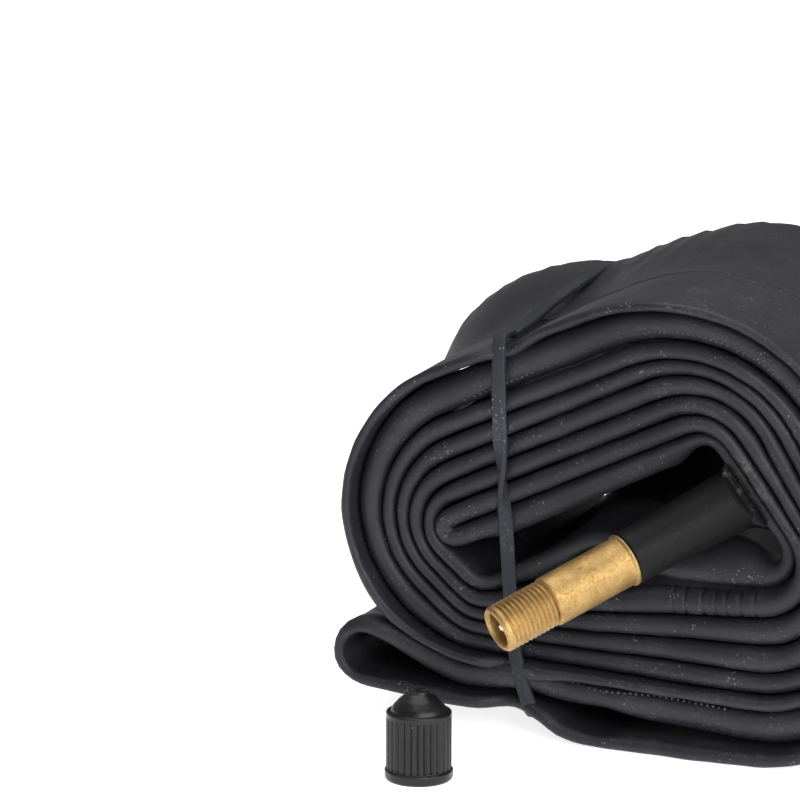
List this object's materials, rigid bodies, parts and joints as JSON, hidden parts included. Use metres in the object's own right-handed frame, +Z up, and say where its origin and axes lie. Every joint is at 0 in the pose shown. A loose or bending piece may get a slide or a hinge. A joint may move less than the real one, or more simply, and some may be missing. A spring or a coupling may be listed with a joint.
{
  "type": "inner tube",
  "caption": "Bicycle inner tube folded flat and rolled up, with a long car-type valve standing out of the roll, a rubber band round it and the valve cap beside it.",
  "frame": {"origin": "under the middle of everything, on the surface that the roll and the cap stand on", "axes": "+X along the roll's long way with the open outer fold at -X, +Y from the valve side of the roll to its back, +Z up"},
  "size_m": [0.097, 0.0952, 0.0739],
  "materials": {
    "butyl_rubber": "satin, dusted with talc",
    "patch_rubber": "matte, with a grey bond line",
    "sleeve_rubber": "matte",
    "stem_brass": "turned, unpolished",
    "core_brass": "turned",
    "seal_rubber": "matte",
    "pin_steel": "bright",
    "spring_steel": "drawn wire",
    "band_rubber": "matte",
    "cap_plastic": "moulded, satin"
  },
  "bodies": {
    "tube_roll": {"tube_inner_fold": "butyl_rubber", "tube_valve_turn": "butyl_rubber", "tube_turn_1": "butyl_rubber", "tube_turn_2": "butyl_rubber", "tube_turn_3": "butyl_rubber", "tube_turn_4": "butyl_rubber", "tube_turn_5": "butyl_rubber", "tube_turn_6": "butyl_rubber", "tube_turn_7": "butyl_rubber", "tube_outer_fold": "butyl_rubber", "valve_base_patch": "patch_rubber", "valve_sleeve": "sleeve_rubber", "valve_stem": "stem_brass"},
    "core": {"core_barrel": "core_brass", "core_gasket": "seal_rubber", "core_spring": "spring_steel"},
    "core_plug": {"core_plug": "core_brass"},
    "plunger": {"core_pin": "pin_steel", "core_cup": "core_brass", "core_cup_seal": "seal_rubber", "core_spring_seat": "core_brass"},
    "rubber_band": {"rubber_band": "band_rubber"},
    "valve_cap": {"valve_cap": "cap_plastic"}
  },
  "joints": [
    {"name": "core_slide", "type": "slide", "parent": "tube_roll", "child": "core", "axis": [-0.6243, -0.6933, -0.36], "range_m": [0, 0.00353]},
    {"name": "core_plug_turn", "type": "hinge", "parent": "core", "child": "core_plug", "pos_m": [-0.00977, -0.04433, 0.02584], "axis": [-0.6243, -0.6933, -0.36], "range_deg": [0, 1800]},
    {"name": "pin_press", "type": "slide", "parent": "core", "child": "plunger", "axis": [0.6243, 0.6933, 0.36], "range_m": [0, 0.0015], "stiffness_N_per_m": 250, "springref_m": -0.004, "deforming": ["core_spring"]},
    {"name": "band_off", "type": "slide", "parent": "tube_roll", "child": "rubber_band", "axis": [-1, 0, 0], "range_m": [0, 0.06]},
    {"name": "cap_lift", "type": "slide", "parent": "tube_roll", "child": "valve_cap", "axis": [0, 0, 1], "range_m": [0, 0.04]}
  ],
  "couplings": [
    {"joint": "core_plug_turn", "follows": "core_slide", "rad_per_m": 8904.7}
  ]
}
